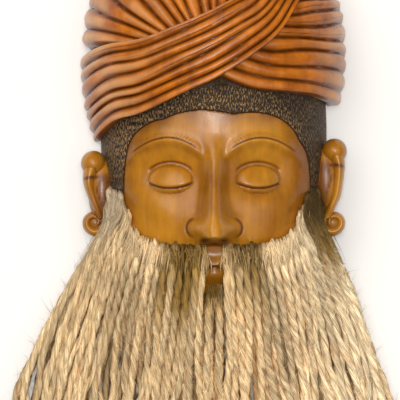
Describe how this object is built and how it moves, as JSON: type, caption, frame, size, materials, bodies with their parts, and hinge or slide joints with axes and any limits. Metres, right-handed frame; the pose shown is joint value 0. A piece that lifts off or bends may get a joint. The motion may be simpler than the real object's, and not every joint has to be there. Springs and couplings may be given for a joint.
{
  "type": "carved wall mask",
  "caption": "carved wooden wall mask of a bearded man in a wound turban, hollow behind, with a beard of jute twine, lying on its back",
  "frame": {"origin": "on the surface that the mask lies on, under the middle of the mask and its under beard strands", "axes": "+Y runs from the beard up to the crown of the turban, +Z comes out of the face, +X runs to the right of someone looking at the face"},
  "size_m": [0.257, 0.3858, 0.1017],
  "materials": {
    "carved_wood": "carved soft wood, stained golden brown on the face and orange brown on the turban, dark in the grooves, blackened hair, satin lacquer",
    "jute_twine": "natural two-ply jute twine, matt straw colour with loose fibres, stained olive and grey at some roots"
  },
  "bodies": {
    "root": {"carved_mask": "carved_wood", "beard_under_strands": "jute_twine", "beard_strand_01": "jute_twine", "beard_strand_02": "jute_twine", "beard_strand_03": "jute_twine", "beard_strand_04": "jute_twine", "beard_strand_05": "jute_twine", "beard_strand_06": "jute_twine", "beard_strand_07": "jute_twine", "beard_strand_08": "jute_twine", "beard_strand_09": "jute_twine", "beard_strand_10": "jute_twine", "beard_strand_11": "jute_twine", "beard_strand_12": "jute_twine", "beard_strand_13": "jute_twine", "beard_strand_14": "jute_twine"}
  },
  "joints": []
}
